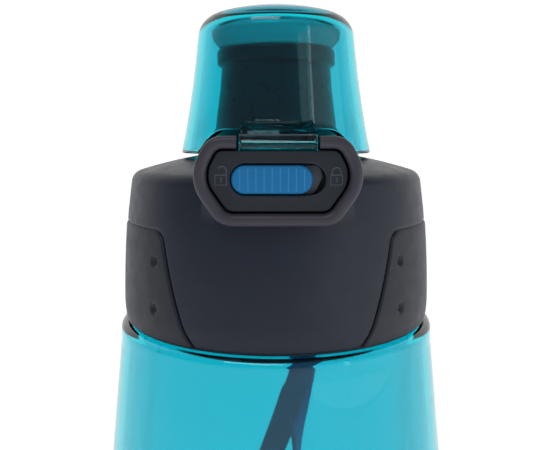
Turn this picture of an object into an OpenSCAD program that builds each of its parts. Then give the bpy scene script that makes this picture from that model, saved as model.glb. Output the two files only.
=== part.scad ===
// Sports bottle with a screw-on lid, a flip-up spout cap, a push latch with a sliding lock and a carry strap.
// Millimetres. +Z is up, the latch faces -Y, and the origin is the middle of the resting base.

/* [Bottle] */
// Radius of the widest part of the bottle
body_r = 40.6; // [39.6:0.1:41]
// Radius of the narrower foot that drops into a holder
foot_r = 39; // [37.5:0.1:39.4]
// Height of the foot's straight side
foot_top = 62; // [40:1:64]
// Height of the shoulder, where the neck starts
shoulder_z = 188.9; // [188.9:0.1:189.4]
// Wall thickness of the bottle
wall = 2.1; // [1.6:0.1:2.4]
// Inside radius of the neck
mouth_r = 27.6; // [26:0.1:28]
// Outside radius of the neck between its threads
neck_r = 30.2; // [30:0.1:30.3]

/* [Thread] */
// Rise of the thread in one turn
pitch = 5; // [4.6:0.1:5.4]
// Turns of thread on the neck and in the lid
thread_turns = 1.25; // [1:0.05:1.3]

/* [Lid] */
// Outside radius of the lid at its lower edge
lid_r = 35.6; // [35.5:0.1:36]
// Radius of the hole that the lid's liner sits in
liner_r = 33.2; // [33.1:0.05:33.3]
// Width of the slots in the lid for the cap's tongue
tongue_gap = 15; // [14.8:0.1:15.4]

/* [Spout] */
// Inside radius of the drinking spout
spout_bore_r = 10.8; // [9:0.1:11.2]
// Outside radius of the spout's lip
lip_r = 13.6; // [13.4:0.1:13.9]

/* [Cap] */
// Outside radius of the flip cap at its lower edge
cap_r = 22.15; // [22:0.05:22.3]
// Wall thickness of the flip cap
cap_wall = 1.7; // [1.5:0.1:1.8]

/* [Latch] */
// Travel of the release button
button_travel = 1.8; // [1.2:0.1:1.9]
// Travel of the sliding lock
lock_travel = 2.2; // [1.8:0.1:2.2]
// Number of grip ribs on the sliding lock
lock_ribs = 9; // [5:1:9]

/* [Hinge] */
// Radius of the steel hinge pin
pin_r = 1.25; // [1:0.05:1.3]

/* [Strap] */
// Width of the carry strap
strap_w = 8.4; // [7:0.1:8.6]
// Thickness of the carry strap
strap_t = 1.3; // [1:0.1:1.4]

/* [Hidden] */
$fn = 72;

// heights
neck_top = shoulder_z + 19.6;
lid_z = shoulder_z + 1.1;         // level that the lid's parts are placed from
skirt_z = lid_z - 0.5;            // lower edge of the lid's skirt
disc_z = neck_top + 1.9;          // underside of the liner's disc
disc_t = 1.6;
flange_z = disc_z + disc_t + 0.8; // underside of the spout's flange
latch_z = lid_z + 33;             // middle of the lock's slot
cap_z = lid_z + 37.2;             // lower edge of the flip cap

// hinge and strap bar axes, both along X
hinge_y = 27.5;
hinge_z = lid_z + 41;
bar_y = 38.6;
bar_z = lid_z + 13;
bar_r = 1.25;

// depths of the latch pieces, from the front backwards
bezel_front = -38.2;
tower_front = -36;
plate_front = -36.6;
plate_back = -35;
cavity_back = -24;
tower_back = -22.8;
slide_back = cavity_back - button_travel - 2.6; // leaves the springs room behind a pressed button

// colours
teal = [0, 0.67, 0.75, 0.6];
dark_teal = [0, 0.45, 0.52, 0.8];
charcoal = [0.17, 0.18, 0.22];
warm_grey = [0.3, 0.28, 0.32];
blue = [0, 0.42, 0.72];
silicone = [0.75, 0.8, 0.82];

// ---- curves and outlines ----

function arc(c, r, a0, a1, n) = [for (i = [0:n]) let (a = a0 + (a1 - a0) * i / n) c + r * [cos(a), sin(a)]];

function unit(v) = v / norm(v);

// a clockwise outline moved out by d
function grown(p, d) = [for (i = [0:len(p) - 1])
    let (a = p[(i + len(p) - 1) % len(p)], b = p[i], c = p[(i + 1) % len(p)],
        e = unit(b - a), f = unit(c - b), n = [-e[1], e[0]], m = [-f[1], f[0]])
    b + d * (n + m) / (1 + n * m)];

// a clockwise outline with round corners, k + 1 points to a corner; radii is one radius, or a list of one each
function rounded(p, radii, k = 6) = [for (i = [0:len(p) - 1])
    let (r = is_list(radii) ? radii[i] : radii,
        u = unit(p[(i + len(p) - 1) % len(p)] - p[i]), v = unit(p[(i + 1) % len(p)] - p[i]),
        half = acos(u * v) / 2, c = p[i] + unit(u + v) * r / sin(half), s = p[i] + u * r / tan(half) - c,
        a = atan2(s[1], s[0]))
    for (j = [0:k]) c + r * [cos(a - j / k * (180 - 2 * half)), sin(a - j / k * (180 - 2 * half))]];

// a smooth curve through points of any size, n steps between two of them
function smooth(p, n) = [for (i = [0:len(p) - 2]) for (j = [0:n - 1])
    let (a = p[max(i - 1, 0)], b = p[i], c = p[i + 1], d = p[min(i + 2, len(p) - 1)], t = j / n)
    b + t * (c - a) / 2 + t * t * (a - 2.5 * b + 2 * c - d / 2) + t * t * t * (1.5 * (b - c) + (d - a) / 2),
    p[len(p) - 1]];

// a solid through closed rings that all have the same number of points
module skin(rings) {
    m = len(rings[0]);
    last = (len(rings) - 1) * m;
    polyhedron(
        points = [for (r = rings) each r],
        faces = concat(
            [[for (k = [0:m - 1]) k]],
            [for (i = [0:len(rings) - 2], k = [0:m - 1]) let (a = i * m + k, b = i * m + (k + 1) % m)
                each [[a, a + m, b], [b, a + m, b + m]]],
            [[for (k = [m - 1:-1:0]) last + k]]));
}

// an outline drawn in X and Z, solid from y0 to y1
module along_y(y0, y1) { translate([0, y1, 0]) rotate([90, 0, 0]) linear_extrude(y1 - y0) children(); }

// an outline drawn in Y and Z, solid from x0 to x1
module along_x(x0, x1) { translate([x0, 0, 0]) rotate([90, 0, 90]) linear_extrude(x1 - x0) children(); }

module block(x, y, z) { translate([x[0], y[0], z[0]]) cube([x[1] - x[0], y[1] - y[0], z[1] - z[0]]); }

module rod_x(y, z, r, x0, x1) { translate([x0, y, z]) rotate([0, 90, 0]) cylinder(r = r, h = x1 - x0); }

// ---- bottle ----

taper_z = 158;  // the side is a straight cone above this height
barrel_z = 140; // and a cylinder below this one
taper = 0.105;  // radius lost for each millimetre of height on the cone
blend = taper / 2 / (taper_z - barrel_z);
roll_r = 1.7;   // radius of the rolled shoulder edge
roll_z = shoulder_z - roll_r;
shoulder_t = 1.6; // thickness of the flat shoulder round the neck

function side_r(z) = z <= barrel_z ? body_r
    : z <= taper_z ? body_r - blend * pow(z - barrel_z, 2)
    : body_r - taper * (taper_z - barrel_z) / 2 - taper * (z - taper_z);

// from the foot's radius up to the barrel's
function foot_curve(inset) = [for (i = [0:6]) let (t = i / 6)
    [foot_r + (body_r - foot_r) * (1 - cos(180 * t)) / 2 - inset, foot_top + 14 * t]];

module bottle_outline() {
    heel = 9;
    polygon(concat(
        [[0, 4.5], [14, 4.2], [23, 2.4], [27, 0], [foot_r - heel, 0]],
        arc([foot_r - heel, heel], heel, -80, 0, 6),
        foot_curve(0),
        [for (z = [barrel_z:6:taper_z]) [side_r(z), z]],
        arc([side_r(roll_z) - roll_r, roll_z], roll_r, 4, 90, 6),
        [[neck_r + 0.8, shoulder_z], [neck_r, shoulder_z + 0.8], [neck_r, neck_top - 0.8],
            [neck_r - 0.8, neck_top], [0, neck_top]]));
}

module bottle_hollow() {
    heel = 7.5;
    r = foot_r - wall;
    polygon(concat(
        [[0, 4.5 + wall], [14, 4.2 + wall], [23, 2.4 + wall], [27, wall], [r - heel, wall]],
        arc([r - heel, wall + heel], heel, -80, 0, 6),
        foot_curve(wall),
        [for (z = [barrel_z:6:taper_z]) [side_r(z) - wall, z]],
        [[side_r(roll_z) - wall, roll_z - 3], [side_r(roll_z) - wall, shoulder_z - shoulder_t - 0.5],
            [side_r(roll_z) - wall - 0.5, shoulder_z - shoulder_t], [mouth_r, shoulder_z - shoulder_t],
            [mouth_r, neck_top + 1], [0, neck_top + 1]]));
}

// one thread: a wedge that climbs round the axis, its foot sunk into the wall it stands on
module thread(root, crest, z0) {
    sunk = root < crest ? root - 0.6 : root + 0.6;
    steps = round(36 * thread_turns);
    fade = 3;
    rings = [for (i = [0:steps])
        let (a = i * 10, z = z0 + pitch * a / 360, f = min(1, (i + 0.3) / fade, (steps - i + 0.3) / fade),
            tip = root + (crest - root) * f,
            outline = [[sunk, z - 1.2], [tip, z - 0.6], [tip, z + 0.6], [sunk, z + 1.2]])
        [for (q = root < crest ? [for (k = [3:-1:0]) outline[k]] : outline) [q[0] * cos(a), q[0] * sin(a), q[1]]]];
    skin(rings);
}

module bottle_body() {
    color(teal) union() {
        difference() {
            rotate_extrude() bottle_outline();
            rotate_extrude() bottle_hollow();
        }
        thread(neck_r, neck_r + 1.1, shoulder_z + 7);
    }
}

// ---- lid ----

module tube(r0, r1, z0, z1) {
    translate([0, 0, z0]) difference() {
        cylinder(r = r1, h = z1 - z0);
        translate([0, 0, -1]) cylinder(r = r0, h = z1 - z0 + 2);
    }
}

module lid_gasket() { color(silicone) tube(mouth_r + 0.4, neck_r + 0.6, neck_top + 0.05, disc_z - 0.05); }

module thread_insert() {
    root = neck_r + 1.5;
    foot = shoulder_z + 0.2;
    flange_r = lid_r - 1; // closes the gap under the skirt
    color(charcoal) union() {
        difference() {
            union() {
                translate([0, 0, foot]) cylinder(r = liner_r - 0.06, h = disc_z + disc_t - foot);
                translate([0, 0, foot]) cylinder(r = flange_r, h = skirt_z - 0.03 - foot);
            }
            translate([0, 0, foot - 1]) cylinder(r = root, h = disc_z - foot + 1);
            translate([0, 0, disc_z - 1]) cylinder(r = spout_bore_r + 0.4, h = disc_t + 2);
        }
        thread(root, root - 1.1, shoulder_z + 7 + pitch / 2);
    }
}

// the lid's side swells a little on the way down and draws in again at its lower edge
function lid_side(z) = lid_r - 0.002 * pow(z - lid_z, 2) - 0.02 * pow(max(0, lid_z + 4.5 - z), 2);
function dome_z(r) = lid_z + 38.25 - 0.00485 * r * r;

collar_r = 15;      // hole round the spout
collar_wall = 2.2;

module lid_profile() {
    corner = [30.6, lid_z + 30.6];
    polygon(concat(
        [[0, skirt_z], [lid_side(skirt_z) - 0.5, skirt_z], [lid_side(skirt_z + 0.5), skirt_z + 0.5]],
        [for (z = [3, 6, 12, 18, 24]) [lid_side(lid_z + z), lid_z + z]],
        arc(corner, 2.95, 6, 72, 6),
        [for (r = [29:-3:2]) [r, dome_z(r)]],
        [[0, dome_z(0)]]));
}

module lid_hollow() {
    roof = 1.8;
    polygon(concat(
        [[0, lid_z - 1], [liner_r, lid_z - 1], [liner_r, lid_z + 22.5], [liner_r - 1.1, lid_z + 28],
            [liner_r - 2.6, lid_z + 31]],
        [for (r = [28:-4:20]) [r, dome_z(r) - roof]],
        [[collar_r + collar_wall, dome_z(17) - roof], [collar_r + collar_wall, flange_z + 1.7],
            [0, flange_z + 1.7]]));
}

// the release button's outline: a long hexagon, clockwise from its upper right corner, and its corners' radii
plate = [[10.9, latch_z + 5.2], [13.5, latch_z + 0.4], [9.2, latch_z - 5.8],
    [-9.2, latch_z - 5.8], [-13.5, latch_z + 0.4], [-10.9, latch_z + 5.2]];
plate_corners = [1.6, 5, 2.2, 2.2, 5, 1.6];
function plate_path(d) = rounded(grown(plate, d), [for (r = plate_corners) max(r + d, 0.3)]);
module plate_outline(d) { polygon(plate_path(d)); }

// the block that carries the latch through the lid's front wall and up into the cap's cut-out
module latch_tower() {
    along_y(tower_front, tower_back) plate_outline(2.4);
    intersection() {
        along_y(tower_back - 1, -17.5) plate_outline(2.4);
        block([-20, 20], [-30, -10], [latch_z + 1.2, latch_z + 12]);
    }
}

// a stop that the lock's tab meets when it is slid across
module lock_stop() {
    x = lock_x + lock_tab[1] + 0.3;
    block([x, x + lock_travel + 0.4], [-30.3, cavity_back + 0.2], [latch_z - 3.4, latch_z - 1]);
}

module latch_cavity() {
    along_y(tower_front - 1, cavity_back) plate_outline(1.2);
    block([-tongue_gap / 2, tongue_gap / 2], [-40, -16], [latch_z + 6, latch_z + 20]);
}

// the two ears at the back that hold the hinge pin
module hinge_ears() {
    for (s = [-1, 1]) translate([s * 10, 0, 0]) {
        rod_x(hinge_y, hinge_z, 3, -1.5, 1.5);
        block([-1.5, 1.5], [hinge_y - 3, hinge_y + 3], [lid_z + 32.5, hinge_z]);
    }
}

// the two ears below them that hold the strap bar
module strap_ears() {
    for (s = [-1, 1]) translate([s * 15.3, 0, 0]) {
        rod_x(bar_y, bar_z, 1.9, -1.4, 1.4);
        along_x(-1.4, 1.4) polygon([[bar_y, bar_z - 1.9], [bar_y, bar_z + 1.9], [30.4, bar_z + 5.5],
            [30.4, bar_z - 5.5]]);
    }
}

// the outline of a side panel, seen from the side, clockwise
panel = [[25.8, lid_z + 22], [31.8, lid_z - 4], [-31.8, lid_z - 4], [-25.8, lid_z + 22]];
panel_r = 34.45;     // radius of the panels' backs
panel_proud = 0.2;   // how far they stand out of the lid

module panel_cut(d, inner) {
    difference() {
        intersection() {
            rotate_extrude() polygon(concat([[inner, skirt_z + 0.3]],
                [for (z = [skirt_z - lid_z + 0.3, 3, 6, 12, 18, 23]) [lid_side(lid_z + z) + panel_proud, lid_z + z]],
                [[inner, lid_z + 23]]));
            along_x(0, 50) polygon(rounded(grown(panel, d), 2 + d));
        }
        for (z = [15.8, 6.1]) rotate([0, 0, 45]) translate([0, -lid_side(lid_z + z) - 0.75, lid_z + z]) sphere(r = 1.2);
    }
}

module side_grip() { panel_cut(0, panel_r); }

module lid_shell() {
    color(charcoal) difference() {
        union() {
            difference() {
                union() {
                    difference() {
                        rotate_extrude() lid_profile();
                        rotate_extrude() lid_hollow();
                    }
                    latch_tower();
                }
                latch_cavity();
                for (s = [0, 1]) mirror([s, 0, 0]) difference() {
                    rotate_extrude() polygon([[panel_r - 0.1, lid_z - 1], [50, lid_z - 1], [50, lid_z + 22.3],
                        [panel_r - 0.1, lid_z + 22.3]]);
                    along_y(-60, 60) polygon([[0, lid_z - 3], [0, lid_z + 30], [-60, lid_z + 30], [-60, lid_z - 3]]);
                    panel_outside();
                }
            }
            lock_stop();
            hinge_ears();
            strap_ears();
        }
        translate([0, 0, lid_z]) cylinder(r = collar_r, h = 60);
        rod_x(hinge_y, hinge_z, pin_r + 0.01, -20, 20);
        rod_x(bar_y, bar_z, bar_r + 0.01, -20, 20);
    }
}

// everything beside a panel's outline, 0.25 clear of it
module panel_outside() {
    difference() {
        along_x(-1, 60) polygon([[-60, lid_z - 3], [-60, lid_z + 40], [60, lid_z + 40], [60, lid_z - 3]]);
        along_x(-2, 61) polygon(rounded(grown(panel, 0.25), 2.25));
    }
}

module spout() {
    z = flange_z;
    color(charcoal) rotate_extrude() polygon([
        [spout_bore_r, z], [20, z], [20, z + 1.6], [collar_r - 0.3, z + 1.6], [collar_r - 0.3, lid_z + 40],
        [14.3, lid_z + 42.5], [13.5, lid_z + 46.5], [13, lid_z + 51.5], [12.65, lid_z + 56],
        [lip_r - 0.1, lid_z + 57], [lip_r, lid_z + 57.4], [lip_r, lid_z + 59.4], [lip_r - 0.35, lid_z + 60.2],
        [lip_r - 1, lid_z + 60.5], [spout_bore_r + 0.7, lid_z + 60.5], [spout_bore_r, lid_z + 59.8]]);
}

module spout_gasket() { color(silicone) tube(12.6, 16, disc_z + disc_t + 0.03, flange_z - 0.03); }

// ---- latch ----

// a rounded bar that follows the button's outline, open at the top for the cap's tongue
module latch_bezel() {
    mid = 1.55;
    half = 1.15;
    soft = 0.85;
    depth = tower_front - bezel_front;
    section = concat([[-half, depth], [half, depth]], arc([half - soft, soft], soft, 0, -90, 4),
        arc([-half + soft, soft], soft, -90, -180, 4));
    top = latch_z + 5.2 + mid;
    lines = [for (q = section) concat([[tongue_gap / 2, top + q[0]]], plate_path(mid + q[0]),
        [[-tongue_gap / 2, top + q[0]]])];
    color(warm_grey) skin([for (i = [0:len(lines[0]) - 1])
        [for (k = [0:len(section) - 1]) [lines[k][i][0], bezel_front + section[k][1], lines[k][i][1]]]]);
}

slot_half = 8.6;
slot_h = 2.8;
lock_half = 7.4;
lock_x = -slot_half + lock_half + 0.1; // the lock at rest, unlocked
lock_tab = [2.6, 4.6];                 // the tab at its back, measured from its middle
ledge_front = -31.5;
window = 3.8;                          // half width of the way in for the cap's catch

// a padlock in low relief: a frame, a keyhole and a shackle that is shut or turned open
module padlock(x, open) {
    translate([x, plate_front + 0.1, latch_z]) rotate([90, 0, 0]) linear_extrude(0.25) {
        difference() {
            square([2.3, 2], center = true);
            square([1.8, 1.5], center = true);
        }
        circle(r = 0.28, $fn = 24);
        translate([open ? 0.35 : 0, open ? 1.5 : 1]) {
            difference() {
                circle(r = 0.95, $fn = 36);
                circle(r = 0.65, $fn = 36);
                translate([-2, -2]) square([4, 2]);
            }
            if (open) translate([0.65, -0.6]) square([0.3, 0.65]);
        }
    }
}

module release_button() {
    color(charcoal) union() {
        difference() {
            union() {
                along_y(plate_front, plate_back) plate_outline(0);
                along_y(plate_back - 0.7, plate_back + 0.3) plate_outline(0.8);
                along_y(plate_back - 0.1, -31.7) plate_outline(-0.5);
            }
            along_y(plate_back, -31) plate_outline(-1.7);
            along_y(plate_front - 1, plate_back + 1) translate([0, latch_z])
                polygon(rounded([[slot_half, slot_h], [slot_half, -slot_h], [-slot_half, -slot_h],
                    [-slot_half, slot_h]], slot_h - 0.01));
            block([-window, window], [plate_back, -30], [latch_z + 1, latch_z + 20]);
        }
        padlock(-10.4, true);
        padlock(10.6, false);
    }
}

// rides behind the button: holds the lock in, catches the cap and seats the springs
module latch_slide() {
    color(charcoal) difference() {
        union() {
            along_y(-33.4, slide_back) plate_outline(-2);
            block([-5.2, 5.2], [ledge_front, slide_back], [latch_z + 2, latch_z + 5.8]);
        }
        block([-window, window], [-34, -30.5], [latch_z + 2.7, latch_z + 4.5]);
        block([1.1, 6.8], [-34, slide_back + 1], [latch_z - 3.7, latch_z - 0.7]);
        for (s = [-1, 1]) translate([s * 8, slide_back + 1, latch_z + 1.3]) rotate([90, 0, 0]) cylinder(r = 1.6, h = 3.5);
    }
}

module coil_y(x, y0, y1, z, r, wire, turns) {
    steps = turns * 14;
    translate([x, 0, z]) skin([for (i = [0:steps]) let (a = i * 360 / 14, y = y0 + wire + (y1 - y0 - 2 * wire) * i / steps)
        [for (k = [0:5]) let (q = r + wire * cos(k * 60)) [q * cos(a), y + wire * sin(k * 60), q * sin(a)]]]);
}

module button_springs() {
    color("silver") for (s = [-1, 1]) coil_y(s * 8, slide_back - 2.4, cavity_back - 0.05, latch_z + 1.3, 1.1, 0.22, 6);
}

module lock_slider() {
    rib_pitch = 1.46;
    pad_h = 2.6;
    pad = [[lock_half, pad_h], [lock_half, -pad_h], [-lock_half, -pad_h], [-lock_half, pad_h]];
    color(blue) translate([lock_x, 0, latch_z]) union() {
        along_y(-37.4, -34.6) polygon(rounded(pad, pad_h - 0.1));
        along_y(-34.7, -33.6) polygon([[-6.6, -3.8], [-7.9, -2], [-7.9, 2.5], [8.8, 2.5], [9.4, 0.4], [8.2, -2],
            [6.6, -3.8]]);
        block(lock_tab, [-33.7, -30.6], [-3.3, -1.1]);
        for (i = [0:lock_ribs - 1]) translate([(i - (lock_ribs - 1) / 2) * rib_pitch, -37.35, -1.9])
            cylinder(r = 0.28, h = 3.8, $fn = 24);
    }
}

// ---- cap ----

function cap_side(z) = let (h = z - cap_z) cap_r - 0.222 * h + 0.0024 * h * h;
cap_ceiling = cap_z + 28.9;

module cap_outline() {
    polygon(concat(
        [[0, cap_z], [cap_r, cap_z]],
        [for (h = [4:5:24]) [cap_side(cap_z + h), cap_z + h]],
        arc([12.9, cap_z + 26.1], 5, 6, 75, 6),
        [[9, cap_z + 32.3], [5, cap_z + 32.95], [0, cap_z + 33.2]]));
}

module cap_hollow() {
    polygon(concat(
        [[0, cap_z - 1], [cap_side(cap_z - 1) - cap_wall, cap_z - 1]],
        [for (h = [4:5:24]) [cap_side(cap_z + h) - cap_wall, cap_z + h]],
        arc([13.7, cap_ceiling - 2.6], 2.6, 4, 90, 4),
        [[0, cap_ceiling]]));
}

// the front of the skirt is cut away over the latch
module cap_cutout() {
    along_y(-30, -8) polygon([[-17.2, cap_z - 2], [-16.9, cap_z], [-15.8, cap_z + 2.1], [-14.7, cap_z + 3.5],
        [-13.1, cap_z + 4.6], [-10.5, cap_z + 5.1], [10.5, cap_z + 5.1], [13.1, cap_z + 4.6], [14.7, cap_z + 3.5],
        [15.8, cap_z + 2.1], [16.9, cap_z], [17.2, cap_z - 2]]);
}

// reaches forward over the latch and carries the catch
module cap_tongue() {
    z = latch_z;
    along_x(-7.05, 7.05) polygon([[-19.4, z + 10.9], [-33, z + 8.6], [-36.1, z + 8], [-37, z + 7.5], [-37.3, z + 6.9],
        [-37.3, z + 5.9], [-37, z + 5.6], [-36, z + 5.6], [-35.7, z + 6.5], [-33, z + 6.9], [-19.4, z + 9.3]]);
    along_x(-3.3, 3.3) polygon([[-33, z + 7.4], [-33, z + 3.1], [-32.3, z + 3.1], [-30.8, z + 3.9], [-30.8, z + 4.3],
        [-31.8, z + 4.3], [-31.8, z + 7.4]]);
}

module cap_arm() {
    rod_x(hinge_y, hinge_z, 2.8, -8.2, 8.2);
    block([-8.2, 8.2], [17, hinge_y], [hinge_z - 2.8, hinge_z + 2.8]);
}

module flip_cap() {
    color(teal) difference() {
        union() {
            difference() {
                union() {
                    rotate_extrude() cap_outline();
                    cap_arm();
                }
                rotate_extrude() cap_hollow();
                cap_cutout();
            }
            cap_tongue();
        }
        rod_x(hinge_y, hinge_z, pin_r + 0.05, -20, 20);
        block([-3.6, 3.6], [hinge_y - 4, hinge_y + 10], [hinge_z - 5, hinge_z + 5]);
        block([-3.2, -1.6], [hinge_y - 6.3, hinge_y], [hinge_z - 5, hinge_z - 1.3]);
    }
}

module cap_seal() {
    z = lid_z + 60.75;
    color(dark_teal) rotate_extrude() polygon([[0, z + 0.9], [9, z + 0.9], [10.2, z], [lip_r - 0.8, z], [lip_r + 0.2, z + 0.8],
        [lip_r + 0.9, z + 1.9], [lip_r + 1.3, z + 3.2], [lip_r + 1, z + 4.2], [lip_r, z + 4.8],
        [9, cap_ceiling - 0.03], [0, cap_ceiling - 0.03]]);
}

// ---- hinge and strap bar ----

module hinge_pin() { color("silver") rod_x(hinge_y, hinge_z, pin_r, -11.8, 11.8); }

// a torsion spring round the pin, one leg under the cap's arm and one standing on the lid
module cap_spring() {
    wire = 0.3;
    r = 1.9;
    half = 2.4;
    coil = [for (a = [270:20:1980]) [half * ((a - 270) / 855 - 1), r * cos(a), r * sin(a)]];
    path = concat([[-half, -5.8, -r], [-half, -1, -r]], coil, [[half, -r, -1], [half, -r, -5.4]]);
    n = len(path) - 1;
    color("silver") translate([0, hinge_y, hinge_z]) skin([for (i = [0:n])
        let (along = unit(path[min(i + 1, n)] - path[max(i - 1, 0)]), u = unit([1, 0, 0] - along[0] * along),
            v = cross(along, u))
        [for (k = [0:5]) path[i] + wire * (cos(k * 60) * u + sin(k * 60) * v)]]);
}

module strap_bar() { color("silver") rod_x(bar_y, bar_z, bar_r, -16.9, 16.9); }

// ---- strap ----

// the strap's middle line, x, y, z and how far its width is turned from X: over the bar, down behind the bottle,
// round the hand loop and back up to the bar
strap_route = [
    [9.2, 38.6, 205.1, 0], [9.2, 37.1, 204.5, 0], [9.2, 36.5, 203, 0], [9.2, 36.5, 200, 0],
    [9.3, 36.9, 195, 0], [9.4, 37.9, 187, 0], [9.5, 39.2, 179, 0], [9.4, 40.7, 171, 0],
    [9, 42, 163, 0], [7.8, 42.6, 156, 0], [5.6, 42.8, 149, 0], [2.8, 42.9, 141, 4],
    [-0.6, 43, 132, 10], [-4, 43.2, 123, 20], [-7.2, 43.7, 114, 38], [-10, 44.6, 104, 60],
    [-11.5, 45.4, 94, 80], [-11, 45.8, 84, 90], [-8, 46, 76, 90], [-3, 46, 72, 90],
    [2.5, 46, 73, 90], [6.5, 46, 78, 90], [8.6, 46, 86, 90], [9.2, 46, 96, 90],
    [9, 46, 107, 90], [8.4, 46, 118, 86], [7.8, 45.9, 128, 78], [7.8, 45.6, 137, 60],
    [8.2, 45.2, 146, 34], [8.7, 44.8, 154, 12], [9.1, 44.2, 162, 2], [9.4, 43.4, 170, 0],
    [9.5, 42.5, 179, 0], [9.4, 41.7, 188, 0], [9.3, 41.1, 196, 0], [9.2, 40.7, 201, 0],
    [9.2, 40.6, 203.4, 0], [9.2, 40.1, 204.5, 0], [9.2, 38.8, 205.1, 0]];

module carry_strap() {
    line = smooth(strap_route, 2);
    n = len(line) - 1;
    w = strap_w / 2;
    t = strap_t / 2;
    section = [[w, -t / 2], [w, t / 2], [w - t / 2, t], [-w + t / 2, t], [-w, t / 2], [-w, -t / 2],
        [-w + t / 2, -t], [w - t / 2, -t]];
    color(blue) skin([for (i = [0:n])
        let (p = [for (k = [0:2]) line[i][k]], q = line[max(i - 1, 0)] , s = line[min(i + 1, n)],
            along = unit([s[0] - q[0], s[1] - q[1], s[2] - q[2]]), turn = line[i][3],
            flat = [cos(turn), sin(turn), 0], across = unit(flat - (flat * along) * along),
            up = cross(along, across))
        [for (c = section) p + c[0] * across + c[1] * up]]);
}

bottle_body();
lid_gasket();
lid_shell();
thread_insert();
spout();
spout_gasket();
latch_bezel();
mirror([1, 0, 0]) color(charcoal) side_grip();  // side_grip_left
color(charcoal) side_grip();  // side_grip_right
hinge_pin();
cap_spring();
strap_bar();
flip_cap();
cap_seal();
release_button();
latch_slide();
button_springs();
lock_slider();
carry_strap();
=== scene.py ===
"""The looks of a sports bottle with a flip-up spout cap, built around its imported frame.

Sizes in this script are in millimetres and its points are (x, y, z), +Z up and the latch facing -Y.
"""

import math

import bmesh
import bpy
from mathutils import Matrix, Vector


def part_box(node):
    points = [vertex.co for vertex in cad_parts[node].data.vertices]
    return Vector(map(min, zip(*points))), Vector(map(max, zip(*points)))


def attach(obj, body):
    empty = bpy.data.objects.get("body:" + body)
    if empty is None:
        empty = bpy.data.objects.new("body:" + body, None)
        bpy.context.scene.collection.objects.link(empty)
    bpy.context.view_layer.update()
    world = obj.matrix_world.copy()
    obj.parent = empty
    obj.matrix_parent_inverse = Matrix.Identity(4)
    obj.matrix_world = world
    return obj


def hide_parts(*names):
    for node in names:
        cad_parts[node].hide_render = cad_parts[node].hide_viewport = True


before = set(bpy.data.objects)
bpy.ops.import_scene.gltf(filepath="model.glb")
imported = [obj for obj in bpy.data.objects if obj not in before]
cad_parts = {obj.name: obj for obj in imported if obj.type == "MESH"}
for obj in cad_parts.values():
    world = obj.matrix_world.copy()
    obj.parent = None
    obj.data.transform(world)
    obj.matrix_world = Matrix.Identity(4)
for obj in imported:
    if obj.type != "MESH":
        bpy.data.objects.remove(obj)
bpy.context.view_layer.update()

MM = 0.001  # metres in a millimetre

# ---- places taken from the frame ----


def low(node):
    """The lowest corner of a CAD node, in millimetres."""
    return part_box(node)[0] / MM


def high(node):
    """The highest corner of a CAD node, in millimetres."""
    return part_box(node)[1] / MM


NECK_TOP = high("bottle_body").z
SHOULDER = NECK_TOP - 19.6
SKIRT = low("lid_shell").z  # lower edge of the lid
LID = SKIRT + 0.5          # level that the lid's parts are placed from
FLANGE = low("spout").z
SEAL = low("cap_seal").z
LATCH = LID + 33
CAP = LID + 37.2
CAP_RADIUS = high("flip_cap").x
HINGE = (high("hinge_pin") + low("hinge_pin")) / 2
BAR = (high("strap_bar") + low("strap_bar")) / 2

# ---- camera ----

CAMERA_DISTANCE = 152.6
CAMERA_HEIGHT = 230.0
CAMERA_TILT = 7.5   # degrees below the horizon
CAMERA_ROUND = 0.6  # degrees round the bottle, towards -X
CAMERA_TURN = 0.51  # degrees that it turns back towards the bottle
LENS = 41.9


def make_camera():
    data = bpy.data.cameras.new("camera")
    data.sensor_width = 36
    data.lens = LENS
    data.clip_start = 0.01
    camera = bpy.data.objects.new("camera", data)
    bpy.context.scene.collection.objects.link(camera)
    a = math.radians(CAMERA_ROUND)
    camera.location = (-CAMERA_DISTANCE * math.sin(a) * MM,
                       -CAMERA_DISTANCE * math.cos(a) * MM,
                       CAMERA_HEIGHT * MM)
    camera.rotation_euler = (math.radians(90 - CAMERA_TILT), 0, -math.radians(CAMERA_TURN))
    bpy.context.scene.camera = camera


# ---- curves and outlines ----


def arc(centre, radius, start, end, steps):
    """Points on an arc between two angles in degrees."""
    angles = [math.radians(start + (end - start) * i / steps) for i in range(steps + 1)]
    return [(centre[0] + radius * math.cos(a), centre[1] + radius * math.sin(a)) for a in angles]


def smooth(points, steps):
    """A Catmull-Rom curve through points, with so many steps between two of them."""
    points = [Vector(p) for p in points]
    line = []
    for i in range(len(points) - 1):
        a, b, c, d = points[max(i - 1, 0)], points[i], points[i + 1], points[min(i + 2, len(points) - 1)]
        for j in range(steps):
            t = j / steps
            line.append(b + t * (c - a) / 2 + t * t * (a - 2.5 * b + 2 * c - d / 2)
                        + t**3 * (1.5 * (b - c) + (d - a) / 2))
    return line + [points[-1]]


def filleted(corners, closed=False, degrees=9):
    """The line through (x, y, radius) corners, each rounded by its radius."""
    line = []
    for i, (x, y, radius) in enumerate(corners):
        here = Vector((x, y))
        if radius == 0 or (not closed and i in (0, len(corners) - 1)):
            line.append((x, y))
            continue
        u = (Vector(corners[i - 1][:2]) - here).normalized()
        v = (Vector(corners[(i + 1) % len(corners)][:2]) - here).normalized()
        half = u.angle(v) / 2
        centre = here + (u + v).normalized() * radius / math.sin(half)
        start = here + u * radius / math.tan(half) - centre
        turn = math.pi - 2 * half
        turn = turn if u.x * v.y - u.y * v.x > 0 else -turn
        steps = max(2, round(abs(math.degrees(turn)) / degrees))
        for j in range(steps + 1):
            a = -turn * j / steps
            line.append((centre.x + start.x * math.cos(a) - start.y * math.sin(a),
                         centre.y + start.x * math.sin(a) + start.y * math.cos(a)))
    return line


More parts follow.
